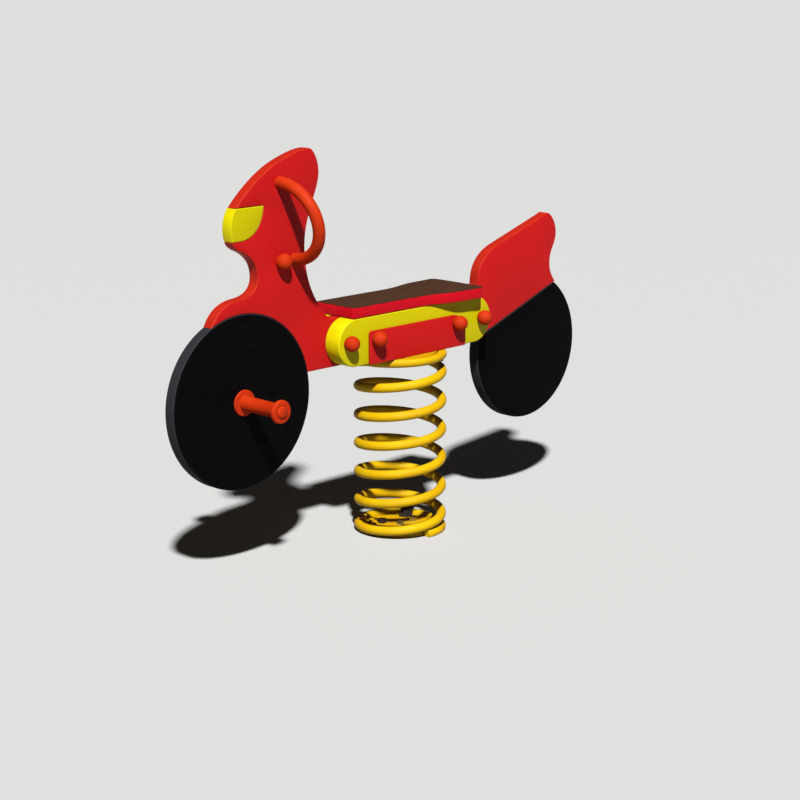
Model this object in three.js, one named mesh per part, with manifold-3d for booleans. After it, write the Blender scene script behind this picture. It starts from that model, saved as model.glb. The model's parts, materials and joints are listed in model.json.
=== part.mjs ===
// Playground spring rider in the shape of a motorbike.
// Millimetres, +Z up.  The rider faces -Y, X is the rider's left, the origin is on the ground
// under the middle of the coil spring.
import * as THREE from 'three';
import { mergeVertices } from 'three/addons/utils/BufferGeometryUtils.js';
import Module from 'manifold-3d';

const wasm = await Module();
wasm.setup();

// ---------- driving dimensions ----------
const GAP = 0.3;                 // clearance between pieces that touch

// coil spring: standard playground spring
const WIRE_D = 20;
const COIL_R = 90;               // centreline radius, 200 mm over the wire
const PITCH = 63.2;
const ACTIVE_TURNS = 5.434;
const COIL_START = THREE.MathUtils.degToRad(-6);
const COIL_FOOT = 0.4;           // height of the ground-flat lower end
const COIL_TOP = 394.4;          // height of the ground-flat upper end
const END_SUNK = 4.8;            // depth ground off the wire at both ends
const CLOSING = WIRE_D + GAP;    // rise of one closed turn

// round plates inside the closed turns
const PLATE_R = 79;
const PLATE_T = 8;
const ANCHOR_PCR = 40;
const ANCHOR_ANGLES = [90, 210, 330];
const CLAW_W = 26;
const CLAW_T = 5;
const CLAW_BOLT_R = 62;
const CLAW_SPAN = 9;              // degrees of wire under half a claw
const BASE_CLAW_ANGLES = [123, 225];
const TOP_CLAW_ANGLES = [45, 225];

// boards
const BOARD_T = 26;
const HALF_T = BOARD_T / 2;
const FRONT_WHEEL_R = 176.8;
const FRONT_HUB = { y: -452.6, z: 358.4 };
const REAR_WHEEL_R = 165;
const REAR_HUB = { y: 397, z: 348.5 };
const WHEEL_GAP = 0.5;

// side beams and side panels
const BEAM_IN = HALF_T + GAP;
const BEAM_OUT = 55;
const BEAM = { front: -232, rear: 226, bottom: 395, top: 495.2 };
const SIDE_PANEL_T = 6;
const SIDE_PANEL_OUT = BEAM_OUT + GAP + SIDE_PANEL_T;
const BOLT_Z = 448;
const OUTER_BOLTS = [-206, 195];
const INNER_BOLTS = [-132, 110];
const BOLT_R = 5;
const BOLT_HOLE_R = 5.4;
const CAP_R = 16.4;
const CAP_PROUD = 12;

// seat
const SEAT = { bottom: 495.6, boardT: 22, coverT: 1.3, front: -191, rear: 185, narrow: 55.8, wide: 76 };

// handles
const HANDLE_R = 12.5;
const HANDLE_REACH = 91;
const HANDLE_TOP = { y: -350, z: 785 };
const HANDLE_LOW = { y: -313, z: 629 };
const CHIN_BOLT = { y: -350, z: 629 };

// foot pegs
const PEG_R = 15;
const PEG_FLANGE_R = 27;
const PEG_END_R = 23.5;
const PEG_END_X = 127;

// ---------- colours ----------
const RED = 0xc8201e;
const SIGNAL_RED = 0xe04020;
const YELLOW = 0xdcc80a;
const BLACK = 0x0a0a0b;
const BROWN = 0x5a3826;
const ZINC = 0xa9adb0;

const part = new THREE.Group();
part.name = 'spring_rider';

// ---------- helpers ----------
function add(name, geometry, color, roughness = 0.6, metalness = 0) {
  const material = new THREE.MeshStandardMaterial({ color, roughness, metalness });
  material.name = name;
  const mesh = new THREE.Mesh(geometry, material);
  mesh.name = name;
  part.add(mesh);
}

function toSolid(geometry) {
  const bare = geometry.clone();
  for (const key of Object.keys(bare.attributes)) {
    if (key !== 'position') bare.deleteAttribute(key);
  }
  const welded = mergeVertices(bare.index ? bare.toNonIndexed() : bare, 1e-4);
  return new wasm.Manifold(new wasm.Mesh({
    numProp: 3,
    vertProperties: new Float32Array(welded.attributes.position.array),
    triVerts: new Uint32Array(welded.index.array),
  }));
}

function fromSolid(solid) {
  const mesh = solid.getMesh();
  const geometry = new THREE.BufferGeometry();
  const stride = mesh.numProp;
  const count = mesh.vertProperties.length / stride;
  const positions = new Float32Array(count * 3);
  for (let i = 0; i < count; i += 1) {
    for (let k = 0; k < 3; k += 1) positions[3 * i + k] = mesh.vertProperties[stride * i + k];
  }
  geometry.setAttribute('position', new THREE.BufferAttribute(positions, 3));
  geometry.setIndex(new THREE.BufferAttribute(new Uint32Array(mesh.triVerts), 1));
  const faceted = geometry.toNonIndexed();
  faceted.computeVertexNormals();
  return faceted;
}

// base minus every cutter
function cut(base, cutters) {
  let solid = toSolid(base);
  for (const cutter of cutters) solid = solid.subtract(toSolid(cutter));
  return fromSolid(solid);
}

function join(pieces) {
  let solid = toSolid(pieces[0]);
  for (const piece of pieces.slice(1)) solid = solid.add(toSolid(piece));
  return fromSolid(solid);
}

// outline drawn in (Y, Z), thickened along X
function slabX(outline, x0, x1, curveSegments = 10) {
  const geometry = new THREE.ExtrudeGeometry(outline, { depth: x1 - x0, bevelEnabled: false, curveSegments });
  const basis = new THREE.Matrix4().makeBasis(
    new THREE.Vector3(0, 1, 0), new THREE.Vector3(0, 0, 1), new THREE.Vector3(1, 0, 0));
  return geometry.applyMatrix4(basis).translate(x0, 0, 0);
}

// outline drawn in (X, Y), thickened along Z
function slabZ(outline, z0, z1, curveSegments = 10) {
  return new THREE.ExtrudeGeometry(outline, { depth: z1 - z0, bevelEnabled: false, curveSegments })
    .translate(0, 0, z0);
}

function rodX(y, z, r, x0, x1, segments = 16) {
  return new THREE.CylinderGeometry(r, r, x1 - x0, segments)
    .rotateZ(-Math.PI / 2)
    .translate((x0 + x1) / 2, y, z);
}

function rodZ(x, y, r, z0, z1, segments = 16) {
  return new THREE.CylinderGeometry(r, r, z1 - z0, segments)
    .rotateX(Math.PI / 2)
    .translate(x, y, (z0 + z1) / 2);
}

// rod in the board's mid-plane, from one (Y, Z) point to another
function rodYZ(a, b, r, segments = 12) {
  const from = new THREE.Vector3(0, a.y, a.z);
  const to = new THREE.Vector3(0, b.y, b.z);
  const along = to.clone().sub(from);
  const turn = new THREE.Quaternion().setFromUnitVectors(
    new THREE.Vector3(0, 1, 0), along.clone().normalize());
  return new THREE.CylinderGeometry(r, r, along.length(), segments)
    .applyQuaternion(turn)
    .translate(0, (a.y + b.y) / 2, (a.z + b.z) / 2);
}

// closed profile of (radius, X) pairs turned about a line along X
function turnedX(profile, y, z, segments = 20) {
  const points = profile.map(([r, x]) => new THREE.Vector2(r, x));
  return new THREE.LatheGeometry(points, segments).rotateZ(-Math.PI / 2).translate(0, y, z);
}

function mirrorX(geometry) {
  const flipped = geometry.index ? geometry.toNonIndexed() : geometry.clone();
  flipped.scale(-1, 1, 1);
  const p = flipped.attributes.position;
  const a = new THREE.Vector3();
  const b = new THREE.Vector3();
  for (let i = 0; i < p.count; i += 3) {
    a.fromBufferAttribute(p, i + 1);
    b.fromBufferAttribute(p, i + 2);
    p.setXYZ(i + 1, b.x, b.y, b.z);
    p.setXYZ(i + 2, a.x, a.y, a.z);
  }
  flipped.computeVertexNormals();
  return flipped;
}

function hexBolt(headR, headT, shankR, shankLength, segments = 12) {
  const head = rodZ(0, 0, headR, 0, headT, 6);
  const shank = rodZ(0, 0, shankR, -shankLength, 0.5, segments);
  return join([head, shank]);
}

// ---------- coil spring ----------
// Height of the wire centre after a number of turns: one closed turn, the active turns, one closed turn.
const CLOSE_POWER = PITCH / CLOSING;
const ALL_TURNS = ACTIVE_TURNS + 2;

function wireHeight(turns) {
  const first = COIL_FOOT + WIRE_D / 2 - END_SUNK;
  const last = COIL_TOP - WIRE_D / 2 + END_SUNK;
  if (turns < 1) return first + CLOSING * Math.pow(turns, CLOSE_POWER);
  if (turns > ALL_TURNS - 1) return last - CLOSING * Math.pow(ALL_TURNS - turns, CLOSE_POWER);
  const low = first + CLOSING;
  const high = last - CLOSING;
  return low + (high - low) * (turns - 1) / ACTIVE_TURNS;
}

// turns run through when the wire passes a compass angle for the first or the last time
function firstPass(degrees) {
  const turn = (THREE.MathUtils.degToRad(degrees) - COIL_START) / (2 * Math.PI);
  return turn - Math.floor(turn);
}

function lastPass(degrees) {
  let turn = firstPass(degrees);
  while (turn + 1 <= ALL_TURNS) turn += 1;
  return turn;
}

class WirePath extends THREE.Curve {
  getPoint(t, target = new THREE.Vector3()) {
    const turns = t * ALL_TURNS;
    const angle = COIL_START + turns * 2 * Math.PI;
    return target.set(COIL_R * Math.cos(angle), COIL_R * Math.sin(angle), wireHeight(turns));
  }
}

const wireSection = new THREE.Shape();
wireSection.absarc(0, 0, WIRE_D / 2, 0, 2 * Math.PI);
const rawWire = new THREE.ExtrudeGeometry(wireSection, {
  steps: Math.round(ALL_TURNS * 20), extrudePath: new WirePath(), curveSegments: 5, bevelEnabled: false });
const grindLow = new THREE.BoxGeometry(260, 260, 40).translate(0, 0, COIL_FOOT - 20);
const grindHigh = new THREE.BoxGeometry(260, 260, 40).translate(0, 0, COIL_TOP + 20);
add('coil_spring', cut(rawWire, [grindLow, grindHigh]), YELLOW, 0.35, 0.2);

// ---------- base plate with its bolts and claws ----------
function polar(radius, degrees) {
  const angle = THREE.MathUtils.degToRad(degrees);
  return { x: radius * Math.cos(angle), y: radius * Math.sin(angle) };
}

// Claw drawn in (radius, height): a foot on the plate, an upright inside the coil, a tongue over the wire.
function claw(plateFace, wireFace, side) {
  const foot = plateFace + side * GAP;
  const tongue = wireFace + side * GAP;
  const inner = 51;
  const upright = PLATE_R - 1.5;
  const tip = COIL_R + 2;
  const outline = new THREE.Shape();
  outline.moveTo(inner, foot);
  outline.lineTo(upright, foot);
  outline.lineTo(upright, tongue);
  outline.lineTo(tip, tongue);
  outline.lineTo(tip, tongue + side * CLAW_T);
  outline.lineTo(upright - CLAW_T, tongue + side * CLAW_T);
  outline.lineTo(upright - CLAW_T, foot + side * CLAW_T);
  outline.lineTo(inner, foot + side * CLAW_T);
  const slab = new THREE.ExtrudeGeometry(outline, { depth: CLAW_W, bevelEnabled: false });
  return slab.translate(0, 0, -CLAW_W / 2).rotateX(Math.PI / 2);
}

function turnTo(geometry, degrees) {
  return geometry.rotateZ(THREE.MathUtils.degToRad(degrees));
}

const basePlateCuts = ANCHOR_ANGLES.map((angle) => {
  const at = polar(ANCHOR_PCR, angle);
  return rodZ(at.x, at.y, 6.4, -1, PLATE_T + 1);
});
for (const angle of BASE_CLAW_ANGLES) {
  const at = polar(CLAW_BOLT_R, angle);
  basePlateCuts.push(rodZ(at.x, at.y, 4.3, 2, PLATE_T + 1, 12));
}
basePlateCuts.push(rodZ(0, 0, 6.3, 3, PLATE_T + 1));
add('base_plate', cut(rodZ(0, 0, PLATE_R, 0, PLATE_T, 48), basePlateCuts), YELLOW, 0.4, 0.2);
add('centre_plug', hexBolt(9, 5, 6, 4.6).translate(0, 0, PLATE_T + GAP), ZINC, 0.35, 0.9);

ANCHOR_ANGLES.forEach((angle, i) => {
  const at = polar(ANCHOR_PCR, angle);
  const bolt = hexBolt(10, 8, 6, PLATE_T).translate(at.x, at.y, PLATE_T + GAP);
  add(`anchor_bolt_${i + 1}`, bolt, ZINC, 0.35, 0.9);
});

BASE_CLAW_ANGLES.forEach((angle, i) => {
  const wireTop = wireHeight(firstPass(angle + CLAW_SPAN)) + WIRE_D / 2;
  const hole = rodZ(CLAW_BOLT_R, 0, 4.4, 0, 20, 12);
  add(`base_claw_${i + 1}`, turnTo(cut(claw(PLATE_T, wireTop, 1), [hole]), angle), YELLOW, 0.4, 0.2);
  const bolt = hexBolt(7, 5.5, 4, 10.9).translate(CLAW_BOLT_R, 0, PLATE_T + CLAW_T + 2 * GAP);
  add(`base_claw_bolt_${i + 1}`, turnTo(bolt, angle), ZINC, 0.35, 0.9);
});

// ---------- top plate: disc inside the last turn with two uprights between the beams ----------
const TOP_FACE = BEAM.bottom - GAP;
const TOP_UNDER = TOP_FACE - PLATE_T;
const BRACKET = { front: -150, rear: 129, top: 482, out: BEAM_IN - GAP, t: 5 };
const uprights = [1, -1].map((side) => {
  const x0 = side > 0 ? BRACKET.out - BRACKET.t : -BRACKET.out;
  return new THREE.BoxGeometry(BRACKET.t, BRACKET.rear - BRACKET.front, BRACKET.top - TOP_FACE)
    .translate(x0 + BRACKET.t / 2, (BRACKET.rear + BRACKET.front) / 2, (BRACKET.top + TOP_FACE) / 2);
});
const topPlateCuts = INNER_BOLTS.map((y) => rodX(y, BOLT_Z, BOLT_HOLE_R, -20, 20));
for (const angle of TOP_CLAW_ANGLES) {
  const at = polar(CLAW_BOLT_R, angle);
  topPlateCuts.push(rodZ(at.x, at.y, 4.3, TOP_UNDER - 1, TOP_FACE - 2, 12));
}
const topPlate = join([rodZ(0, 0, PLATE_R, TOP_UNDER, TOP_FACE, 48), ...uprights]);
add('top_plate', cut(topPlate, topPlateCuts), YELLOW, 0.4, 0.2);

TOP_CLAW_ANGLES.forEach((angle, i) => {
  const wireUnder = wireHeight(lastPass(angle - CLAW_SPAN)) - WIRE_D / 2;
  const hole = rodZ(CLAW_BOLT_R, 0, 4.4, TOP_UNDER - 20, TOP_UNDER, 12);
  add(`top_claw_${i + 1}`, turnTo(cut(claw(TOP_UNDER, wireUnder, -1), [hole]), angle), YELLOW, 0.4, 0.2);
  const bolt = hexBolt(7, 5.5, 4, 10.9).rotateX(Math.PI)
    .translate(CLAW_BOLT_R, 0, TOP_UNDER - CLAW_T - 2 * GAP);
  add(`top_claw_bolt_${i + 1}`, turnTo(bolt, angle), ZINC, 0.35, 0.9);
});

// ---------- side beams, side panels and their through bolts ----------
const beamOutline = new THREE.Shape();
const beamR = (BEAM.top - BEAM.bottom) / 2;
const beamMid = (BEAM.top + BEAM.bottom) / 2;
beamOutline.absarc(BEAM.rear - beamR, beamMid, beamR, -Math.PI / 2, Math.PI / 2);
beamOutline.absarc(BEAM.front + beamR, beamMid, beamR, Math.PI / 2, 1.5 * Math.PI);
const ALL_BOLTS = [...OUTER_BOLTS, ...INNER_BOLTS].sort((a, b) => a - b);
const SEAT_STUDS = [[34, -150], [34, 120], [-34, -150], [-34, 120]];
const beamCuts = ALL_BOLTS.map((y) => rodX(y, BOLT_Z, BOLT_HOLE_R, 0, 80));
for (const [x, y] of SEAT_STUDS) {
  if (x > 0) beamCuts.push(rodZ(x, y, 4.4, 470, 500, 12));
}
const beam = cut(slabX(beamOutline, BEAM_IN, BEAM_OUT), beamCuts);
add('side_beam_left', beam, YELLOW, 0.45);
add('side_beam_right', mirrorX(beam), YELLOW, 0.45);

const sideOutline = new THREE.Shape();
sideOutline.moveTo(-149, BEAM.bottom);
sideOutline.lineTo(140, BEAM.bottom);
sideOutline.lineTo(140, 427);
sideOutline.bezierCurveTo(140, 448, 123, 465, 102, 465);
sideOutline.lineTo(-149, 465);
const sideCuts = INNER_BOLTS.map((y) => rodX(y, BOLT_Z, BOLT_HOLE_R, 50, 80));
const sidePanel = cut(slabX(sideOutline, BEAM_OUT + GAP, SIDE_PANEL_OUT), sideCuts);
add('side_panel_left', sidePanel, RED, 0.45);
add('side_panel_right', mirrorX(sidePanel), RED, 0.45);

// round cap over a bolt end: a ball with a flat back and a blind socket
function ballCap(y, z, face) {
  const back = face + GAP;
  const centre = face + CAP_PROUD;
  const profile = [[BOLT_HOLE_R, back]];
  const start = Math.acos((back - centre) / CAP_R);
  const steps = 6;
  for (let i = 0; i <= steps; i += 1) {
    const a = start * (1 - i / steps);
    profile.push([i === steps ? 0 : CAP_R * Math.sin(a), centre + CAP_R * Math.cos(a)]);
  }
  profile.push([0, face + 15], [BOLT_HOLE_R, face + 15], [BOLT_HOLE_R, back]);
  return turnedX(profile, y, z, 14);
}

let capNumber = 0;
function capPair(y, z, face) {
  capNumber += 1;
  const cap = ballCap(y, z, face);
  add(`ball_cap_left_${capNumber}`, cap, SIGNAL_RED, 0.4);
  add(`ball_cap_right_${capNumber}`, mirrorX(cap), SIGNAL_RED, 0.4);
}

ALL_BOLTS.forEach((y, i) => {
  const face = INNER_BOLTS.includes(y) ? SIDE_PANEL_OUT : BEAM_OUT;
  const reach = face + 14.5;
  add(`through_bolt_${i + 1}`, rodX(y, BOLT_Z, BOLT_R, -reach, reach, 12), ZINC, 0.35, 0.9);
  capPair(y, BOLT_Z, face);
});

// ---------- front panel, headlight and front wheel ----------
const FORK_TIP = THREE.MathUtils.degToRad(115.9);
const cutR = FRONT_WHEEL_R + WHEEL_GAP;
const sillZ = BEAM.bottom - 2;
const FORK_SILL = Math.asin((sillZ - FRONT_HUB.z) / cutR);
const underSeat = BEAM.top - 0.2;

const frontOutline = new THREE.Shape();
frontOutline.moveTo(FRONT_HUB.y + cutR * Math.cos(FORK_SILL), sillZ);
frontOutline.absarc(FRONT_HUB.y, FRONT_HUB.z, cutR, FORK_SILL, FORK_TIP, false);
frontOutline.bezierCurveTo(-517, 546, -494, 562.5, -456, 564.7);
frontOutline.bezierCurveTo(-430, 566.7, -410, 579, -410, 602);
frontOutline.bezierCurveTo(-410, 630, -426, 648, -457.5, 661);
frontOutline.bezierCurveTo(-468, 667, -472, 673, -473.5, 681);
frontOutline.bezierCurveTo(-479.5, 700, -478.5, 722, -463.7, 743);
frontOutline.bezierCurveTo(-430, 781, -380, 817, -338.5, 830.3);
frontOutline.bezierCurveTo(-320, 837, -292, 846.3, -270, 846.3);
frontOutline.bezierCurveTo(-257, 846.3, -243.5, 820, -243.5, 798);
frontOutline.bezierCurveTo(-243.5, 760, -284, 716, -284, 650);
frontOutline.bezierCurveTo(-283.5, 590, -266.5, 548, -226.5, 504);
frontOutline.lineTo(-216, underSeat);
frontOutline.lineTo(BRACKET.front - 5, underSeat);
frontOutline.lineTo(BRACKET.front - 5, sillZ);

// headlight outline, grown by a margin for the pocket it sits in
function headlightOutline(margin) {
  const outline = new THREE.Shape();
  const nose = margin > 0 ? 30 : 0;
  outline.moveTo(-463.7 - nose, 743 + margin);
  outline.lineTo(-392 + margin, 743 + margin);
  outline.bezierCurveTo(-395 + margin, 704, -420, 680 - margin, -452, 679 - margin);
  outline.lineTo(-473.3 - nose, 679 - margin);
  if (margin === 0) outline.bezierCurveTo(-479.5, 700, -478.5, 722, -463.7, 743);
  return outline;
}

const HUB_HOLE_R = 6.4;
const DOWEL_R = 5;
const frontDowels = [76, 36].map((degrees) => {
  const angle = THREE.MathUtils.degToRad(degrees);
  const at = (radius) => ({
    y: FRONT_HUB.y + radius * Math.cos(angle), z: FRONT_HUB.z + radius * Math.sin(angle) });
  return {
    from: at(cutR - 28), to: at(cutR + 28),
    deepFrom: at(cutR - 29), deepTo: at(cutR + 29) };
});
const lampPin = {
  from: { y: -425, z: 716 }, to: { y: -375, z: 716 },
  deepFrom: { y: -426, z: 716 }, deepTo: { y: -374, z: 716 } };

function dowelHole(dowel) {
  return rodYZ(dowel.deepFrom, dowel.deepTo, DOWEL_R + GAP);
}

const frontCuts = [
  slabX(headlightOutline(0.8), -HALF_T - 1, HALF_T + 1),
  ...frontDowels.map(dowelHole),
  dowelHole(lampPin),
  rodX(HANDLE_TOP.y, HANDLE_TOP.z, 4.4, -20, 20, 12),
  rodX(HANDLE_LOW.y, HANDLE_LOW.z, 4.4, -20, 20, 12),
  rodX(CHIN_BOLT.y, CHIN_BOLT.z, BOLT_HOLE_R, -20, 20),
  rodX(OUTER_BOLTS[0], BOLT_Z, BOLT_HOLE_R, -20, 20),
];
add('front_panel', cut(slabX(frontOutline, -HALF_T, HALF_T), frontCuts), RED, 0.45);
add('headlight', cut(slabX(headlightOutline(0), -HALF_T, HALF_T), [dowelHole(lampPin)]), YELLOW, 0.45);
add('headlight_pin', rodYZ(lampPin.from, lampPin.to, DOWEL_R), ZINC, 0.35, 0.9);

const frontDisc = rodX(FRONT_HUB.y, FRONT_HUB.z, FRONT_WHEEL_R, -HALF_T, HALF_T, 72);
const hubHole = rodX(FRONT_HUB.y, FRONT_HUB.z, HUB_HOLE_R, -20, 20);
add('front_wheel', cut(frontDisc, [hubHole, ...frontDowels.map(dowelHole)]), BLACK, 0.45);
frontDowels.forEach((dowel, i) => {
  add(`front_wheel_dowel_${i + 1}`, rodYZ(dowel.from, dowel.to, DOWEL_R), ZINC, 0.35, 0.9);
});

// ---------- rear panel and rear wheel ----------
const TAIL_SLOPE = THREE.MathUtils.degToRad(20.15);
const tailFoot = { y: 240, z: sillZ };
const tailAt = (distance, off = 0) => ({
  y: tailFoot.y + distance * Math.cos(TAIL_SLOPE) - off * Math.sin(TAIL_SLOPE),
  z: tailFoot.z + distance * Math.sin(TAIL_SLOPE) + off * Math.cos(TAIL_SLOPE) });
const tailEnd = tailAt(271);

const rearOutline = new THREE.Shape();
rearOutline.moveTo(BRACKET.rear + 5, sillZ);
rearOutline.lineTo(tailFoot.y, tailFoot.z);
rearOutline.lineTo(tailEnd.y, tailEnd.z);
rearOutline.bezierCurveTo(484, 498, 474.5, 511, 474.5, 532);
rearOutline.bezierCurveTo(474.5, 562, 495, 572, 495, 598);
rearOutline.bezierCurveTo(495, 620, 481, 640, 467, 645.5);
rearOutline.bezierCurveTo(461, 647.3, 456, 643, 450, 641);
rearOutline.lineTo(299, 592);
rearOutline.bezierCurveTo(261, 580.5, 234, 557, 231, 520);
rearOutline.bezierCurveTo(231, 508, 226, 498, 214, underSeat);
rearOutline.lineTo(BRACKET.rear + 5, underSeat);

const rearDowels = [62, 190].map((distance) => ({
  from: tailAt(distance, -28), to: tailAt(distance, 28),
  deepFrom: tailAt(distance, -29), deepTo: tailAt(distance, 29) }));
const rearCuts = [rodX(OUTER_BOLTS[1], BOLT_Z, BOLT_HOLE_R, -20, 20), ...rearDowels.map(dowelHole)];
add('rear_panel', cut(slabX(rearOutline, -HALF_T, HALF_T), rearCuts), RED, 0.45);

// everything above the panel's lower edge is taken off the disc
const aboveTail = new THREE.Shape();
aboveTail.moveTo(100, sillZ - WHEEL_GAP);
aboveTail.lineTo(tailFoot.y, sillZ - WHEEL_GAP);
const farTail = tailAt(400, -WHEEL_GAP);
aboveTail.lineTo(farTail.y, farTail.z);
aboveTail.lineTo(farTail.y, 800);
aboveTail.lineTo(100, 800);
const rearDisc = rodX(REAR_HUB.y, REAR_HUB.z, REAR_WHEEL_R, -HALF_T, HALF_T, 72);
const rearWheelCuts = [slabX(aboveTail, -HALF_T - 5, HALF_T + 5), ...rearDowels.map(dowelHole)];
add('rear_wheel', cut(rearDisc, rearWheelCuts), BLACK, 0.45);
rearDowels.forEach((dowel, i) => {
  add(`rear_wheel_dowel_${i + 1}`, rodYZ(dowel.from, dowel.to, DOWEL_R), ZINC, 0.35, 0.9);
});

// ---------- seat ----------
function seatOutline() {
  const { front, rear, narrow, wide } = SEAT;
  const corner = 3;
  const outline = new THREE.Shape();
  outline.moveTo(-narrow + corner, front);
  outline.lineTo(narrow - corner, front);
  outline.quadraticCurveTo(narrow, front, narrow, front + corner);
  outline.lineTo(narrow, 0);
  outline.bezierCurveTo(narrow, 58, wide, 72, wide, 130);
  outline.bezierCurveTo(wide, 188, wide + 20, rear, 0, rear);
  outline.bezierCurveTo(-wide - 20, rear, -wide, 188, -wide, 130);
  outline.bezierCurveTo(-wide, 72, -narrow, 58, -narrow, 0);
  outline.lineTo(-narrow, front + corner);
  outline.quadraticCurveTo(-narrow, front, -narrow + corner, front);
  return outline;
}

const boardTop = SEAT.bottom + SEAT.boardT;
const studTop = 509;
const studHoles = SEAT_STUDS.map(([x, y]) => rodZ(x, y, 4.4, SEAT.bottom - 5, studTop + 1, 12));
add('seat_board', cut(slabZ(seatOutline(), SEAT.bottom, boardTop, 8), studHoles), RED, 0.4);
add('seat_cover', slabZ(seatOutline(), boardTop + GAP, boardTop + GAP + SEAT.coverT, 8), BROWN, 0.8);
SEAT_STUDS.forEach(([x, y], i) => {
  add(`seat_stud_${i + 1}`, rodZ(x, y, 4, 471, studTop, 12), ZINC, 0.35, 0.9);
});

// ---------- handles ----------
class HandlePath extends THREE.Curve {
  getPoint(t, target = new THREE.Vector3()) {
    const a = Math.PI * t;
    const s = (1 - Math.cos(a)) / 2;
    return target.set(
      BEAM_IN + HANDLE_REACH * Math.sin(a),
      HANDLE_TOP.y + (HANDLE_LOW.y - HANDLE_TOP.y) * s,
      HANDLE_TOP.z + (HANDLE_LOW.z - HANDLE_TOP.z) * s);
  }
}

const handleSection = new THREE.Shape();
handleSection.absarc(0, 0, HANDLE_R, 0, 2 * Math.PI);
const handleRod = new THREE.ExtrudeGeometry(handleSection, {
  steps: 20, extrudePath: new HandlePath(), curveSegments: 6, bevelEnabled: false });
const handle = cut(handleRod, [
  rodX(HANDLE_TOP.y, HANDLE_TOP.z, 4.4, 0, 34, 12),
  rodX(HANDLE_LOW.y, HANDLE_LOW.z, 4.4, 0, 34, 12),
  new THREE.BoxGeometry(10, 400, 400).translate(BEAM_IN - 5, -330, 700),
]);
add('handle_left', handle, SIGNAL_RED, 0.4);
add('handle_right', mirrorX(handle), SIGNAL_RED, 0.4);
add('handle_stud_upper', rodX(HANDLE_TOP.y, HANDLE_TOP.z, 4, -33, 33, 12), ZINC, 0.35, 0.9);
add('handle_stud_lower', rodX(HANDLE_LOW.y, HANDLE_LOW.z, 4, -33, 33, 12), ZINC, 0.35, 0.9);
add('chin_bolt', rodX(CHIN_BOLT.y, CHIN_BOLT.z, BOLT_R, -HALF_T - 14.5, HALF_T + 14.5, 12), ZINC, 0.35, 0.9);
capPair(CHIN_BOLT.y, CHIN_BOLT.z, HALF_T);

// ---------- foot pegs ----------
const pegIn = HALF_T + GAP;
const socket = PEG_END_X - 8;
const peg = turnedX([
  [HUB_HOLE_R, pegIn], [PEG_FLANGE_R - 1, pegIn], [PEG_FLANGE_R, pegIn + 1], [PEG_FLANGE_R, pegIn + 3],
  [PEG_FLANGE_R - 2, pegIn + 5], [PEG_R, pegIn + 5], [PEG_R, socket - 3], [PEG_END_R - 3, socket - 1],
  [PEG_END_R, socket + 1], [PEG_END_R, PEG_END_X - 3], [PEG_END_R - 3, PEG_END_X],
  [13, PEG_END_X], [13, socket], [HUB_HOLE_R, socket], [HUB_HOLE_R, pegIn],
], FRONT_HUB.y, FRONT_HUB.z, 18);
add('foot_peg_left', peg, SIGNAL_RED, 0.4);
add('foot_peg_right', mirrorX(peg), SIGNAL_RED, 0.4);
add('peg_axle', rodX(FRONT_HUB.y, FRONT_HUB.z, 6, -socket + 0.5, socket - 0.5), ZINC, 0.35, 0.9);

const plug = turnedX([
  [0, socket + GAP], [12.7, socket + GAP], [12.7, PEG_END_X + 1], [10.5, PEG_END_X + 3.4],
  [6, PEG_END_X + 4.8], [0, PEG_END_X + 5.2],
], FRONT_HUB.y, FRONT_HUB.z, 16);
add('peg_plug_left', plug, SIGNAL_RED, 0.35);
add('peg_plug_right', mirrorX(plug), SIGNAL_RED, 0.35);

export default part;
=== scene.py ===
import json
import math

import bmesh
import bpy
from mathutils import Matrix, Vector

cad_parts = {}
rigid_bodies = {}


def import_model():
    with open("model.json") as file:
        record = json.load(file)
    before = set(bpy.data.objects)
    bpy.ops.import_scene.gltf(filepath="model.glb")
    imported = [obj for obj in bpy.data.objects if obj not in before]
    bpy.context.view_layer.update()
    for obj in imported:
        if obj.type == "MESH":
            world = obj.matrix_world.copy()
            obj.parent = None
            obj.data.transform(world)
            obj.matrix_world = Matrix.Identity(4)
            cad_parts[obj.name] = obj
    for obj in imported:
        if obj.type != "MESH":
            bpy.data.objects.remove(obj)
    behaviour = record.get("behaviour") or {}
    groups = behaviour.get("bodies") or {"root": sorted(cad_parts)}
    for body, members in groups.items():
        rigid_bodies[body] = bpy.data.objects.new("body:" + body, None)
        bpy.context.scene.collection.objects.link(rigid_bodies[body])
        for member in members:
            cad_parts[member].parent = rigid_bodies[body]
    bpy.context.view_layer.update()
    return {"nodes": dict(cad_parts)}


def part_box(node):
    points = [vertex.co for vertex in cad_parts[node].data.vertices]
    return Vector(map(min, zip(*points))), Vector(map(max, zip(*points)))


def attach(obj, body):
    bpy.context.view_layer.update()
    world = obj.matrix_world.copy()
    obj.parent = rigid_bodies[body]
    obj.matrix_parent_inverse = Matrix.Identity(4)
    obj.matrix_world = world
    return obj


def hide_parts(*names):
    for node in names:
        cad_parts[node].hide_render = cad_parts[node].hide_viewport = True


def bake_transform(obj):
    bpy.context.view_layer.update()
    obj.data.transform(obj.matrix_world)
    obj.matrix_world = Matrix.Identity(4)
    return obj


for leftover in list(bpy.data.objects):
    bpy.data.objects.remove(leftover)

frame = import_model()
MM = 0.001
scene = bpy.context.scene

SAME_POINT = 2e-6       # metres; mesh points nearer than this are joined
SAME_STEP = 0.05        # millimetres; outline points nearer than this are dropped
LONGEST_RUN = 14        # millimetres between points on a straight part of an outline
MITRE_LIMIT = 0.45      # keeps an inset corner from running away
EDGE_STEPS = 4          # steps round a board's edge
CREASE = 35             # degrees; edges sharper than this stay sharp
BAR_CREASE = 60         # the same, on bars and wire


# ------------------------------------------------------------------ helpers
def link(obj):
    scene.collection.objects.link(obj)
    return obj


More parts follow.
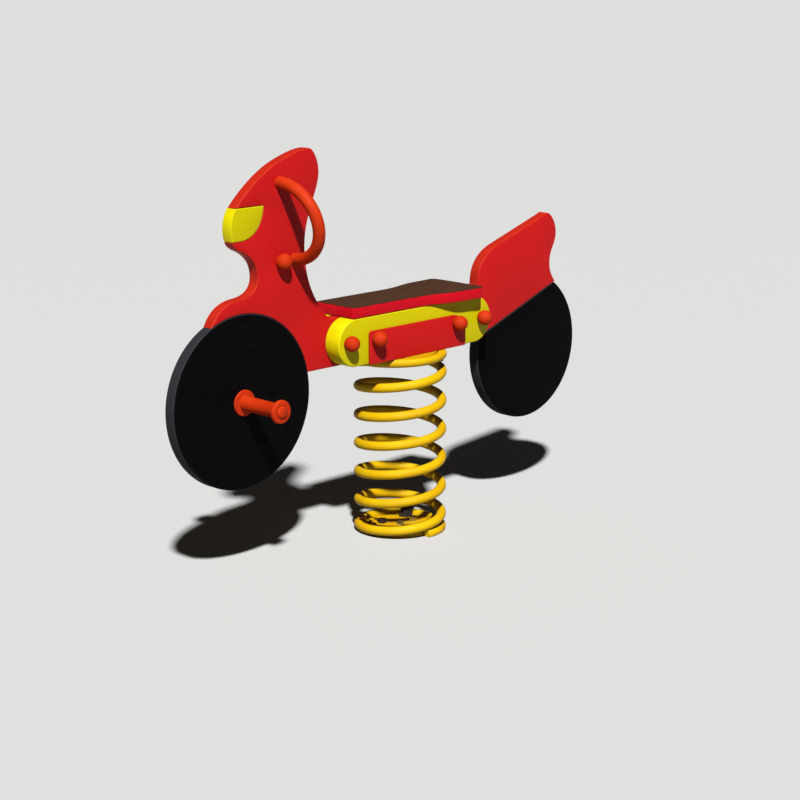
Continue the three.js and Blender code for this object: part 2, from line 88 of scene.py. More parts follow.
def mesh_object(name, verts, faces, smooth_angle):
    """A mesh from points in metres, with doubled points joined and its faces turned outwards."""
    mesh = bpy.data.meshes.new(name)
    mesh.from_pydata(verts, [], faces)
    mesh.validate()
    bm = bmesh.new()
    bm.from_mesh(mesh)
    bmesh.ops.remove_doubles(bm, verts=bm.verts, dist=SAME_POINT)
    bmesh.ops.recalc_face_normals(bm, faces=bm.faces)
    bm.to_mesh(mesh)
    bm.free()
    obj = link(bpy.data.objects.new(name, mesh))
    soften(obj, smooth_angle)
    return obj


def soften(obj, angle):
    """Smooth shading, except across edges sharper than angle."""
    mesh = obj.data
    mesh.polygons.foreach_set("use_smooth", [True] * len(mesh.polygons))
    mesh.set_sharp_from_angle(angle=math.radians(angle))


def finish_piece(obj, body, material, replaced):
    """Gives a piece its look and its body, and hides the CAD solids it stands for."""
    obj.data.materials.clear()
    obj.data.materials.append(material)
    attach(obj, body)
    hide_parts(*replaced)


def bezier(p0, p1, p2, p3, steps):
    """Points along a cubic curve, without its first point."""
    out = []
    for i in range(1, steps + 1):
        t = i / steps
        s = 1 - t
        out.append(tuple(
            s ** 3 * a + 3 * s * s * t * b + 3 * s * t * t * c + t ** 3 * d
            for a, b, c, d in zip(p0, p1, p2, p3)))
    return out


def arc(centre, radius, start, stop, steps):
    """Points on a circle, both ends included."""
    return [(centre[0] + radius * math.cos(start + (stop - start) * i / steps),
             centre[1] + radius * math.sin(start + (stop - start) * i / steps))
            for i in range(steps + 1)]


class Outline:
    """A closed 2-D outline in millimetres, drawn like a pen path."""

    def __init__(self, x, y):
        self.points = [(x, y)]

    def line(self, x, y):
        self.points.append((x, y))
        return self

    def curve(self, *p, steps=22):
        c1, c2, end = p[0:2], p[2:4], p[4:6]
        self.points += bezier(self.points[-1], c1, c2, end, steps)
        return self

    def along(self, points):
        self.points += points
        return self


def resampled(points, step):
    """The outline with long straight runs divided, so that bevels and wear have points to sit on."""
    out = []
    count = len(points)
    for i in range(count):
        a, b = Vector(points[i]), Vector(points[(i + 1) % count])
        parts = max(1, math.ceil((b - a).length / step))
        out += [tuple(a.lerp(b, k / parts)) for k in range(parts)]
    return out


def clean(points):
    """Drops points that repeat the one before."""
    out = []
    for p in points:
        if not out or (Vector(p) - Vector(out[-1])).length > SAME_STEP:
            out.append(p)
    if (Vector(out[0]) - Vector(out[-1])).length < SAME_STEP:
        out.pop()
    return out


def inset(points, amount):
    """Every point moved inwards across the outline, which runs counter-clockwise."""
    count = len(points)
    out = []
    for i in range(count):
        a, p, b = (Vector(points[k]) for k in (i - 1, i, (i + 1) % count))
        d1, d2 = (p - a).normalized(), (b - p).normalized()
        n1, n2 = Vector((-d1.y, d1.x)), Vector((-d2.y, d2.x))
        n = n1 + n2
        if n.length < 1e-6:
            n = n1
        n.normalize()
        reach = amount / max(MITRE_LIMIT, n.dot(n1))
        out.append(tuple(p + n * reach))
    return out


def area(points):
    """Signed area, above zero when the outline runs counter-clockwise."""
    return 0.5 * sum(p[0] * q[1] - q[0] * p[1] for p, q in zip(points, points[1:] + points[:1]))


def board(name, outline, low, high, axis="x", edge=2.0):
    """A board with rounded edges, from low to high in thickness.

    The outline is in (Y, Z) for axis x and in (X, Y) for axis z.
    """
    points = clean(outline)
    if area(points) < 0:
        points.reverse()
    points = resampled(points, LONGEST_RUN)
    rings = []
    for k in range(EDGE_STEPS + 1):
        a = math.pi / 2 * k / EDGE_STEPS
        rings.append((edge * (1 - math.sin(a)), edge * (1 - math.cos(a))))
    levels = [(off, low + depth) for off, depth in rings]
    levels += [(off, high - depth) for off, depth in reversed(rings)]

    def place(p, h):
        return (h * MM, p[0] * MM, p[1] * MM) if axis == "x" else (p[0] * MM, p[1] * MM, h * MM)

    bm = bmesh.new()
    loops = []
    for off, h in levels:
        ring = inset(points, off) if off > 1e-6 else points
        loops.append([bm.verts.new(place(p, h)) for p in ring])
    for lower, upper in zip(loops, loops[1:]):
        for i in range(len(lower)):
            j = (i + 1) % len(lower)
            bm.faces.new((lower[i], lower[j], upper[j], upper[i]))
    for loop in (loops[0], loops[-1]):
        edges = [bm.edges.get((loop[i], loop[(i + 1) % len(loop)])) for i in range(len(loop))]
        bmesh.ops.triangle_fill(bm, use_beauty=True, use_dissolve=False, edges=edges)
    bmesh.ops.recalc_face_normals(bm, faces=bm.faces)
    mesh = bpy.data.meshes.new(name)
    bm.to_mesh(mesh)
    bm.free()
    obj = link(bpy.data.objects.new(name, mesh))
    soften(obj, CREASE)
    return obj


def turned(name, profile, origin, direction, segments=48):
    """A closed profile turned about the line from origin along direction.

    The profile is in (radius, distance) pairs, in millimetres.
    """
    axis = Vector(direction).normalized()
    side = axis.orthogonal().normalized()
    other = axis.cross(side)
    centre = Vector(origin)
    verts, faces = [], []
    for r, h in profile:
        for k in range(segments):
            a = 2 * math.pi * k / segments
            p = centre + axis * h + (side * math.cos(a) + other * math.sin(a)) * max(r, 0.0)
            verts.append(tuple(p * MM))
    rows = len(profile)
    for i in range(rows - 1):
        for k in range(segments):
            j = (k + 1) % segments
            a, b = i * segments, (i + 1) * segments
            if profile[i][0] < 1e-6 and profile[i + 1][0] < 1e-6:
                continue
            if profile[i][0] < 1e-6:
                faces.append((a, b + j, b + k))
            elif profile[i + 1][0] < 1e-6:
                faces.append((a + k, a + j, b))
            else:
                faces.append((a + k, a + j, b + j, b + k))
    return mesh_object(name, verts, faces, CREASE)


def swept(name, path, radius, segments, trim=None, skew=None):
    """A round bar with flat ends along a list of points, in millimetres.

    trim moves each point of the surface; skew gives the direction of the bar at its two ends.
    """
    verts, faces = [], []
    count = len(path)
    normal = None
    for i, p in enumerate(path):
        p = Vector(p)
        ahead = Vector(path[min(i + 1, count - 1)]) - Vector(path[max(i - 1, 0)])
        if skew and i in (0, count - 1):
            ahead = Vector(skew[0 if i == 0 else 1])
        t = ahead.normalized()
        if normal is None:
            normal = t.orthogonal().normalized()
        normal = (normal - t * normal.dot(t)).normalized()
        binormal = t.cross(normal)
        for k in range(segments):
            a = 2 * math.pi * k / segments
            q = p + (normal * math.cos(a) + binormal * math.sin(a)) * radius
            if trim:
                q = trim(q)
            verts.append(tuple(q * MM))
    for i in range(count - 1):
        for k in range(segments):
            j = (k + 1) % segments
            a, b = i * segments, (i + 1) * segments
            faces.append((a + k, a + j, b + j, b + k))
    faces.append(tuple(range(segments - 1, -1, -1)))
    faces.append(tuple(range((count - 1) * segments, count * segments)))
    return mesh_object(name, verts, faces, BAR_CREASE)


def mirrored(obj, name):
    """The same piece on the other side of the object."""
    mesh = obj.data.copy()
    mesh.transform(Matrix.Scale(-1, 4, Vector((1, 0, 0))))
    mesh.flip_normals()
    twin = link(bpy.data.objects.new(name, mesh))
    mesh.name = name
    return twin


# ------------------------------------------------------------------ materials
def shaded(colour, factor):
    """A colour made darker or lighter, still opaque."""
    return tuple(factor * c for c in colour[:3]) + (1,)


class Look:
    """A procedural material: a Principled shader with helpers for the nodes that feed it."""

    def __init__(self, name, roughness=0.5, metallic=0.0, **sockets):
        self.material = bpy.data.materials.new(name)
        self.material.use_nodes = True
        self.nodes = self.material.node_tree.nodes
        self.links = self.material.node_tree.links
        self.nodes.clear()
        out = self.nodes.new("ShaderNodeOutputMaterial")
        self.shader = self.nodes.new("ShaderNodeBsdfPrincipled")
        self.links.new(self.shader.outputs[0], out.inputs["Surface"])
        self.shader.inputs["Roughness"].default_value = roughness
        self.shader.inputs["Metallic"].default_value = metallic
        for key, value in sockets.items():
            self.shader.inputs[key.replace("_", " ")].default_value = value
        coordinates = self.nodes.new("ShaderNodeTexCoord")
        self.place = coordinates.outputs["Object"]

    def scaled(self, factors):
        node = self.nodes.new("ShaderNodeMapping")
        node.inputs["Scale"].default_value = factors
        self.links.new(self.place, node.inputs["Vector"])
        return node.outputs[0]

    def noise(self, scale, detail=4.0, roughness=0.55, vector=None, distortion=0.0):
        node = self.nodes.new("ShaderNodeTexNoise")
        node.inputs["Scale"].default_value = scale
        node.inputs["Detail"].default_value = detail
        node.inputs["Roughness"].default_value = roughness
        node.inputs["Distortion"].default_value = distortion
        self.links.new(vector or self.place, node.inputs["Vector"])
        return node.outputs["Fac"]

    def cells(self, scale):
        node = self.nodes.new("ShaderNodeTexVoronoi")
        node.feature = "F1"
        node.inputs["Scale"].default_value = scale
        self.links.new(self.place, node.inputs["Vector"])
        return node.outputs["Distance"]

    def ramp(self, value, low, high, to_low=0.0, to_high=1.0):
        """Maps the range low to high onto to_low to to_high, with a soft start and end."""
        node = self.nodes.new("ShaderNodeMapRange")
        node.interpolation_type = "SMOOTHSTEP"
        self.links.new(value, node.inputs["Value"])
        node.inputs["From Min"].default_value = low
        node.inputs["From Max"].default_value = high
        node.inputs["To Min"].default_value = to_low
        node.inputs["To Max"].default_value = to_high
        return node.outputs["Result"]

    def math(self, operation, a, b=None):
        node = self.nodes.new("ShaderNodeMath")
        node.operation = operation
        for value, socket in ((a, node.inputs[0]), (b, node.inputs[1])):
            if value is None:
                continue
            if isinstance(value, (int, float)):
                socket.default_value = value
            else:
                self.links.new(value, socket)
        return node.outputs[0]

    def mix(self, factor, a, b):
        node = self.nodes.new("ShaderNodeMix")
        node.data_type = "RGBA"
        for value, socket in ((factor, node.inputs[0]), (a, node.inputs[6]), (b, node.inputs[7])):
            if isinstance(value, (int, float, tuple)):
                socket.default_value = value
            else:
                self.links.new(value, socket)
        return node.outputs[2]

    def own_normal(self):
        """The surface's direction in the piece's own space, as (X, Y, Z) outputs."""
        geometry = self.nodes.new("ShaderNodeNewGeometry")
        turn = self.nodes.new("ShaderNodeVectorTransform")
        turn.vector_type = "NORMAL"
        turn.convert_from, turn.convert_to = "WORLD", "OBJECT"
        split = self.nodes.new("ShaderNodeSeparateXYZ")
        self.links.new(geometry.outputs["Normal"], turn.inputs[0])
        self.links.new(turn.outputs[0], split.inputs[0])
        return split.outputs

    def colour(self, value):
        self.links.new(value, self.shader.inputs["Base Color"])

    def rough(self, value):
        self.links.new(value, self.shader.inputs["Roughness"])

    def bump(self, height, distance, strength):
        node = self.nodes.new("ShaderNodeBump")
        node.inputs["Strength"].default_value = strength
        node.inputs["Distance"].default_value = distance
        self.links.new(height, node.inputs["Height"])
        self.links.new(node.outputs[0], self.shader.inputs["Normal"])


def board_look(name, face, rim, worn, edge_axis=0, roughness=0.5, specular=0.07):
    """Solid-coloured board: orange peel on the faces, saw marks on the rim, wear where they meet."""
    look = Look(name, roughness=roughness, Specular_IOR_Level=specular)
    facing = look.math("ABSOLUTE", look.own_normal()[edge_axis])
    on_face = look.ramp(facing, 0.86, 0.99)
    on_edge = look.math("MULTIPLY", look.ramp(facing, 0.25, 0.6), look.ramp(facing, 0.97, 0.8))
    mottle = look.noise(7.0, 5.0, 0.6)
    grime = look.ramp(look.noise(23.0, 6.0, 0.65), 0.5, 0.78)
    scuff = look.ramp(look.noise(90.0, 3.0, 0.6, look.scaled((1.0, 0.35, 1.6)), 0.6), 0.60, 0.72)
    shade = look.mix(look.ramp(mottle, 0.3, 0.7), shaded(face, 0.93), face)
    shade = look.mix(look.math("MULTIPLY", grime, 0.10), shade, shaded(face, 0.6))
    shade = look.mix(look.math("MULTIPLY", scuff, 0.06), shade, worn)
    # Rim colour with saw marks. For the red, yellow and black boards this rim colour is painted light, set
    # apart from the face colour.
    cut = look.mix(look.ramp(look.noise(60.0, 3.0), 0.35, 0.7), shaded(rim, 0.9), rim)
    shade = look.mix(on_face, cut, shade)
    rub = look.ramp(look.noise(34.0, 5.0, 0.7), 0.46, 0.62)
    shade = look.mix(look.math("MULTIPLY", look.math("MULTIPLY", on_edge, rub), 0.35), shade, worn)
    look.colour(shade)
    gloss = look.math("ADD", look.ramp(look.noise(40.0, 4.0), 0.3, 0.7, roughness - 0.05, roughness + 0.08),
                      look.math("MULTIPLY", scuff, 0.12))
    look.rough(gloss)
    peel = look.math("MULTIPLY", look.noise(900.0, 2.0, 0.5), on_face)
    ridge = look.math("MULTIPLY", look.noise(420.0, 2.0, 0.5, look.scaled((0.12, 1.0, 1.0))),
                      look.math("SUBTRACT", 1.0, on_face))
    look.bump(look.math("ADD", peel, look.math("MULTIPLY", ridge, 1.4)), 0.00022, 0.55)
    return look.material


def moulded_look(name, base, dark, roughness):
    """Moulded plastic: a fine grain, slight flow marks and a soft gloss."""
    look = Look(name, roughness=roughness, Specular_IOR_Level=0.06)
    flow = look.noise(26.0, 4.0, 0.6, distortion=0.8)
    speck = look.ramp(look.noise(240.0, 3.0, 0.6), 0.62, 0.75)
    shade = look.mix(look.ramp(flow, 0.3, 0.72), dark, base)
    look.colour(look.mix(look.math("MULTIPLY", speck, 0.12), shade, shaded(base, 0.55)))
    look.rough(look.ramp(look.noise(60.0, 4.0), 0.3, 0.7, roughness - 0.06, roughness + 0.12))
    look.bump(look.noise(1100.0, 2.0, 0.6), 0.00016, 0.5)
    return look.material


def coated_steel_look(name, base, deep, chip, roughness=0.55):
    """Powder-coated steel: orange peel, slightly darker patches at random, a few small chips."""
    look = Look(name, roughness=roughness, Specular_IOR_Level=0.08)
    tone = look.ramp(look.noise(16.0, 5.0, 0.6), 0.3, 0.72)
    shade = look.mix(tone, deep, base)
    dirt = look.ramp(look.noise(48.0, 6.0, 0.7), 0.56, 0.8)
    shade = look.mix(look.math("MULTIPLY", dirt, 0.28), shade, shaded(deep, 0.35))
    chips = look.ramp(look.noise(130.0, 4.0, 0.7), 0.725, 0.75)
    look.colour(look.mix(look.math("MULTIPLY", chips, 0.8), shade, chip))
    look.rough(look.math("ADD", look.ramp(dirt, 0.0, 1.0, roughness, roughness + 0.2),
                         look.math("MULTIPLY", chips, 0.25)))
    peel = look.noise(520.0, 2.0, 0.5)
    look.bump(look.math("SUBTRACT", peel, look.math("MULTIPLY", chips, 1.5)), 0.0003, 0.5)
    return look.material


def zinc_look(name):
    """Zinc-plated steel: spangle and a few stains."""
    look = Look(name, roughness=0.36, metallic=1.0)
    spangle = look.cells(190.0)
    tone = look.mix(look.ramp(spangle, 0.1, 0.7), (0.34, 0.35, 0.36, 1), (0.50, 0.51, 0.52, 1))
    stain = look.ramp(look.noise(70.0, 5.0, 0.7), 0.55, 0.8)
    look.colour(look.mix(look.math("MULTIPLY", stain, 0.5), tone, (0.20, 0.18, 0.15, 1)))
    look.rough(look.ramp(stain, 0.0, 1.0, 0.3, 0.55))
    look.bump(look.noise(700.0, 3.0, 0.6), 0.0002, 0.4)
    return look.material


def granule_look(name, base, dark, light):
    """Non-slip seat sheet: pressed granules in a brown binder."""
    look = Look(name, roughness=0.85, Specular_IOR_Level=0.08)
    grain = look.cells(620.0)
    tint = look.noise(430.0, 2.0, 0.7)
    broad = look.ramp(look.noise(9.0, 4.0, 0.6), 0.3, 0.7)
    shade = look.mix(look.ramp(tint, 0.35, 0.66), dark, base)
    shade = look.mix(look.math("MULTIPLY", look.ramp(tint, 0.62, 0.72), 0.45), shade, light)
    shade = look.mix(look.math("MULTIPLY", broad, 0.25), shade, shaded(base, 1.25))
    look.colour(shade)
    look.rough(look.ramp(grain, 0.1, 0.7, 0.72, 0.92))
    relief = look.math("ADD", look.math("SUBTRACT", 1.0, grain), look.math("MULTIPLY", tint, 0.5))
    look.bump(relief, 0.0006, 0.7)
    return look.material


# Colours are linear. They were set by comparing renders under the sun below with the photograph.
# The red, yellow and black rim colours are painted light. They are the faces' material, made lighter or darker
# so that the boards' edges copy lit edges.
RED_FACE, RED_RIM_PAINTED_LIGHT, RED_WORN = (0.290, 0.0045, 0.0048, 1), (0.250, 0.010, 0.0038, 1), (0.290, 0.018, 0.012, 1)
YEL_FACE, YEL_RIM_PAINTED_LIGHT, YEL_WORN = (0.310, 0.266, 0.0004, 1), (0.385, 0.330, 0.0005, 1), (0.350, 0.305, 0.010, 1)
BLK_FACE, BLK_RIM_PAINTED_LIGHT = (0.0008, 0.0008, 0.0009, 1), (0.0150, 0.0150, 0.0175, 1)
BLK_WORN = (0.018, 0.018, 0.021, 1)
SEAT_RIM, SEAT_WORN = (0.310, 0.0014, 0.0062, 1), (0.310, 0.008, 0.010, 1)
BROWN, BROWN_DARK = (0.037, 0.0150, 0.0072, 1), (0.021, 0.0082, 0.0042, 1)
BROWN_LIGHT = (0.070, 0.032, 0.018, 1)
CAP, CAP_DARK = (0.270, 0.0165, 0.0013, 1), (0.240, 0.013, 0.0011, 1)
GRIP, GRIP_DARK = (0.280, 0.0170, 0.0018, 1), (0.250, 0.014, 0.0015, 1)
SPRING, SPRING_DEEP, SPRING_CHIP = (0.355, 0.220, 0.0007, 1), (0.320, 0.180, 0.0006, 1), (0.10, 0.085, 0.06, 1)
PLATE, PLATE_DEEP, PLATE_CHIP = (0.340, 0.200, 0.0012, 1), (0.290, 0.150, 0.0010, 1), (0.09, 0.08, 0.06, 1)
# Painted shade: a dark steel tone for one claw of each pair, its bolt and one anchor bolt, whose twin pieces
# are yellow or plated.
CLAW, CLAW_DEEP, CLAW_CHIP = (0.020, 0.016, 0.012, 1), (0.012, 0.009, 0.007, 1), (0.06, 0.055, 0.05, 1)

red_board = board_look("red_board", RED_FACE, RED_RIM_PAINTED_LIGHT, RED_WORN)
yellow_board = board_look("yellow_board", YEL_FACE, YEL_RIM_PAINTED_LIGHT, YEL_WORN)
black_board = board_look("black_board", BLK_FACE, BLK_RIM_PAINTED_LIGHT, BLK_WORN, roughness=0.6, specular=0.03)
seat_red = board_look("seat_red", RED_FACE, SEAT_RIM, SEAT_WORN, edge_axis=2)
seat_brown = granule_look("seat_brown", BROWN, BROWN_DARK, BROWN_LIGHT)
cap_red = moulded_look("cap_red", CAP, CAP_DARK, roughness=0.6)
grip_red = moulded_look("grip_red", GRIP, GRIP_DARK, roughness=0.6)
spring_yellow = coated_steel_look("spring_yellow", SPRING, SPRING_DEEP, SPRING_CHIP)
plate_yellow = coated_steel_look("plate_yellow", PLATE, PLATE_DEEP, PLATE_CHIP)
steel_painted_shade = coated_steel_look("steel_painted_shade", CLAW, CLAW_DEEP, CLAW_CHIP, 0.5)
zinc = zinc_look("zinc_plating")

# ------------------------------------------------------------------ sizes, in millimetres
HALF_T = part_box("front_panel")[1].x / MM
front_low, front_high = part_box("front_wheel")
FRONT_HUB = ((front_low.y + front_high.y) / 2 / MM, (front_low.z + front_high.z) / 2 / MM)
FRONT_WHEEL_R = (front_high.y - front_low.y) / 2 / MM
rear_low, rear_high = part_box("rear_wheel")
REAR_WHEEL_R = (rear_high.y - rear_low.y) / 2 / MM
REAR_HUB = ((rear_low.y + rear_high.y) / 2 / MM, rear_low.z / MM + REAR_WHEEL_R)
beam_low, beam_high = (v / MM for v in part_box("side_beam_left"))
GAP = 0.3           # between a cap and its board, and between closed turns of the coil
WHEEL_GAP = 0.5     # between a wheel disc and the panel round it
EDGE = 2.2          # rounding of the thick boards
SILL = beam_low.z - 2           # lower edge of both panels, just below the beams
UNDER_SEAT = beam_high.z - 0.2  # upper edge of both panels where the seat lies on the beams

# ------------------------------------------------------------------ front panel, headlight, front wheel
fork_r = FRONT_WHEEL_R + WHEEL_GAP
fork_tip = math.radians(115.9)      # where the mudguard's tip meets the wheel
fork_sill = math.asin((SILL - FRONT_HUB[1]) / fork_r)
panel_rear = -155.0
front = Outline(panel_rear, SILL)
front.along(arc(FRONT_HUB, fork_r, fork_sill, fork_tip, 60))
# mudguard, chin and jaw
front.curve(-517, 546, -494, 562.5, -456, 564.7)
front.curve(-430, 566.7, -410, 579, -410, 602)
front.curve(-410, 630, -426, 648, -457.5, 661)
front.curve(-468, 667, -472, 672, -473, 678.2, steps=12)
# notch for the headlight, then the forehead and the back of the head and neck
front.line(-452, 678.2)
front.curve(-419.5, 679.2, -394.2, 703.5, -391.2, 743.8)
front.line(-463, 743.8)
front.curve(-430, 781, -380, 817, -338.5, 830.3, steps=30)
front.curve(-320, 837, -292, 846.3, -270, 846.3, steps=16)
front.curve(-257, 846.3, -243.5, 820, -243.5, 798)
front.curve(-243.5, 760, -284, 716, -284, 650, steps=30)
front.curve(-283.5, 590, -266.5, 548, -226.5, 504, steps=30)
front.line(-216, UNDER_SEAT)
front.line(panel_rear, UNDER_SEAT)
front_board = board("front_board", front.points, -HALF_T, HALF_T, edge=EDGE)
finish_piece(front_board, "rider", red_board, ["front_panel"])

lamp = Outline(-463.7, 743)
lamp.curve(-478.5, 722, -479.5, 700, -473.3, 679)
lamp.line(-452, 679)
lamp.curve(-420, 680, -395, 704, -392, 743)
LAMP_PROUD = 0.35
lamp_insert = board("lamp_insert", lamp.points, -HALF_T - LAMP_PROUD, HALF_T + LAMP_PROUD, edge=1.4)
finish_piece(lamp_insert, "rider", yellow_board, ["headlight"])

disc = arc(FRONT_HUB, FRONT_WHEEL_R, 0, 2 * math.pi, 180)
front_disc = board("front_disc", disc, -HALF_T, HALF_T, edge=EDGE)
finish_piece(front_disc, "rider", black_board, ["front_wheel"])

# ------------------------------------------------------------------ rear panel and rear wheel
SLOPE = math.radians(20.15)
FOOT = (240.0, SILL)    # where the level lower edge turns up into the slope
TAIL_LENGTH = 271
REACH_STEP = 0.05


def tail(distance, off=0.0):
    """A point on the panel's sloped lower edge, or off it by so many millimetres."""
    return (FOOT[0] + distance * math.cos(SLOPE) - off * math.sin(SLOPE),
            FOOT[1] + distance * math.sin(SLOPE) + off * math.cos(SLOPE))


panel_front = 134.0
rear = Outline(panel_front, SILL).line(*FOOT).line(*tail(TAIL_LENGTH))
rear.curve(484, 498, 474.5, 511, 474.5, 532)
rear.curve(474.5, 562, 495, 572, 495, 598)
rear.curve(495, 620, 481, 640, 467, 645.5)
rear.curve(461, 647.3, 456, 643, 450, 641, steps=8)
rear.line(299, 592)
rear.curve(261, 580.5, 234, 557, 231, 520)
rear.curve(231, 508, 226, 498, 214, UNDER_SEAT, steps=12)
rear.line(panel_front, UNDER_SEAT)
rear_board = board("rear_board", rear.points, -HALF_T, HALF_T, edge=EDGE)
finish_piece(rear_board, "rider", red_board, ["rear_panel"])

# The disc starts where the level cut under the panel meets its rim, and ends where the sloped cut does.
level = SILL - WHEEL_GAP
start = math.pi - math.asin((level - REAR_HUB[1]) / REAR_WHEEL_R)
reach = 0.0
while math.dist(tail(reach, -WHEEL_GAP), REAR_HUB) < REAR_WHEEL_R:
    reach += REACH_STEP
end_point = tail(reach, -WHEEL_GAP)
stop = 2 * math.pi + math.atan2(end_point[1] - REAR_HUB[1], end_point[0] - REAR_HUB[0])
segment = arc(REAR_HUB, REAR_WHEEL_R, start, stop, 160)
knee = (FOOT[0] + 0.2, level)
rear_disc = board("rear_disc", segment + [knee], -HALF_T, HALF_T, edge=EDGE)
finish_piece(rear_disc, "rider", black_board, ["rear_wheel"])

# ------------------------------------------------------------------ side beams and side panels
beam_r = (beam_high.z - beam_low.z) / 2
beam_mid = (beam_high.z + beam_low.z) / 2
stadium = arc((beam_high.y - beam_r, beam_mid), beam_r, -math.pi / 2, math.pi / 2, 48)
stadium += arc((beam_low.y + beam_r, beam_mid), beam_r, math.pi / 2, 1.5 * math.pi, 48)
beam_left = board("beam_left", stadium, beam_low.x, beam_high.x, edge=3.0)
beam_right = mirrored(beam_left, "beam_right")
finish_piece(beam_left, "rider", yellow_board, ["side_beam_left"])
finish_piece(beam_right, "rider", yellow_board, ["side_beam_right"])

side_low, side_high = (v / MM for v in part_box("side_panel_left"))
y0, y1, z0, z1 = side_low.y, side_high.y, side_low.z, side_high.z
# Each corner: how far from the corner the curve starts, and how far from it the control points lie.
FRONT_FOOT, REAR_FOOT, REAR_TOP, FRONT_TOP = (4, 1.8), (3, 1.4), (38, 17), (6, 2.8)
panel = Outline(y0 + FRONT_FOOT[0], z0)
far, near = REAR_FOOT
panel.line(y1 - far, z0).curve(y1 - near, z0, y1, z0 + near, y1, z0 + far, steps=5)
far, near = REAR_TOP
panel.line(y1, z1 - far).curve(y1, z1 - near, y1 - near, z1, y1 - far, z1)
far, near = FRONT_TOP
panel.line(y0 + far, z1).curve(y0 + near, z1, y0, z1 - near, y0, z1 - far, steps=8)
far, near = FRONT_FOOT
panel.line(y0, z0 + far).curve(y0, z0 + near, y0 + near, z0, y0 + far, z0, steps=5)
side_left = board("side_board_left", panel.points, side_low.x, side_high.x, edge=1.2)
side_right = mirrored(side_left, "side_board_right")
finish_piece(side_left, "rider", red_board, ["side_panel_left"])
finish_piece(side_right, "rider", red_board, ["side_panel_right"])

# ------------------------------------------------------------------ ball caps
CAP_R = 16.4
CAP_PROUD = 12.0        # from the board to the ball's centre
SOCKET_R, SOCKET_END = 5.4, 15
COLLAR_R, COLLAR_END = 12.7, 3.0
CAP_STEPS = 24
SEAM_DEPTH, SEAM_WIDTH = 0.25, 0.5


def cap_profile():
    """Half a ball on a narrow collar, with the blind socket behind it."""
    out = [(SOCKET_R, GAP), (COLLAR_R - 0.5, GAP), (COLLAR_R, 0.8), (COLLAR_R, 2.0), (COLLAR_R - 0.5, 2.6)]
    start = math.acos((COLLAR_END - CAP_PROUD) / CAP_R)
    for i in range(CAP_STEPS + 1):
        a = start * (1 - i / CAP_STEPS)
        r = 0.0 if i == CAP_STEPS else CAP_R * math.sin(a)
        h = CAP_PROUD + CAP_R * math.cos(a)
        seam = SEAM_DEPTH * math.exp(-((h - CAP_PROUD) / SEAM_WIDTH) ** 2)
        out.append((r - seam if r > 1 else r, h))
    return out + [(0, SOCKET_END), (SOCKET_R, SOCKET_END), (SOCKET_R, GAP)]


for number in range(1, 6):
    low, high = (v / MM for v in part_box(f"ball_cap_left_{number}"))
    y, z = (low.y + high.y) / 2, (low.z + high.z) / 2
    face = low.x - GAP
    left = turned(f"cap_left_{number}", cap_profile(), (face, y, z), (1, 0, 0))
    right = mirrored(left, f"cap_right_{number}")
    finish_piece(left, "rider", cap_red, [f"ball_cap_left_{number}"])
    finish_piece(right, "rider", cap_red, [f"ball_cap_right_{number}"])

# ------------------------------------------------------------------ seat
seat_low, seat_high = (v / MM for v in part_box("seat_board"))
cover_low, cover_high = (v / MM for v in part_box("seat_cover"))
NARROW = 55.8           # half the width in front
WIDE = 76.0             # half the width behind
SEAT_CORNER = 3.5
COVER_INSET, COVER_SUNK = 0.6, 0.2


def seat_outline(shrink=0.0):
    """The seat from above: parallel sides in front, wider behind, with a rounded rear edge."""
    front_y, rear_y = seat_low.y + shrink, seat_high.y - shrink
    n, w, c = NARROW - shrink, WIDE - shrink, SEAT_CORNER
    out = Outline(-n + c, front_y).line(n - c, front_y)
    out.curve(n - c / 3, front_y, n, front_y + c / 3, n, front_y + c, steps=8)
    out.line(n, 0).curve(n, 58, w, 72, w, 130, steps=24).curve(w, 188, w + 20, rear_y, 0, rear_y, steps=36)
    out.curve(-w - 20, rear_y, -w, 188, -w, 130, steps=36).curve(-w, 72, -n, 58, -n, 0, steps=24)
    out.line(-n, front_y + c).curve(-n, front_y + c / 3, -n + c / 3, front_y, -n + c, front_y, steps=8)
    return out.points


seat_base = board("seat_base", seat_outline(), seat_low.z, seat_high.z, axis="z", edge=2.0)
finish_piece(seat_base, "rider", seat_red, ["seat_board"])
seat_skin = board("seat_skin", seat_outline(COVER_INSET), cover_low.z - COVER_SUNK, cover_high.z,
                  axis="z", edge=1.2)
finish_piece(seat_skin, "rider", seat_brown, ["seat_cover"])

# ------------------------------------------------------------------ handles
HANDLE_R = 12.5
HANDLE_STEPS = 96
stud_up, stud_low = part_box("handle_stud_upper"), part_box("handle_stud_lower")
TOP = tuple((stud_up[0][k] + stud_up[1][k]) / 2 / MM for k in (1, 2))
LOW = tuple((stud_low[0][k] + stud_low[1][k]) / 2 / MM for k in (1, 2))
root_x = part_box("handle_left")[0].x / MM
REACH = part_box("handle_left")[1].x / MM - HANDLE_R - root_x


def handle_point(t):
    """A point on the handle's half ring, from the upper stud at 0 to the lower one at 1."""
    a = math.pi * t
    s = (1 - math.cos(a)) / 2
    return (root_x + REACH * math.sin(a), TOP[0] + (LOW[0] - TOP[0]) * s, TOP[1] + (LOW[1] - TOP[1]) * s)


handle_path = [handle_point(i / HANDLE_STEPS) for i in range(HANDLE_STEPS + 1)]
handle_left = swept("handle_grip_left", handle_path, HANDLE_R, 32, skew=((1, 0, 0), (-1, 0, 0)))
handle_right = mirrored(handle_left, "handle_grip_right")
finish_piece(handle_left, "rider", grip_red, ["handle_left"])
finish_piece(handle_right, "rider", grip_red, ["handle_right"])

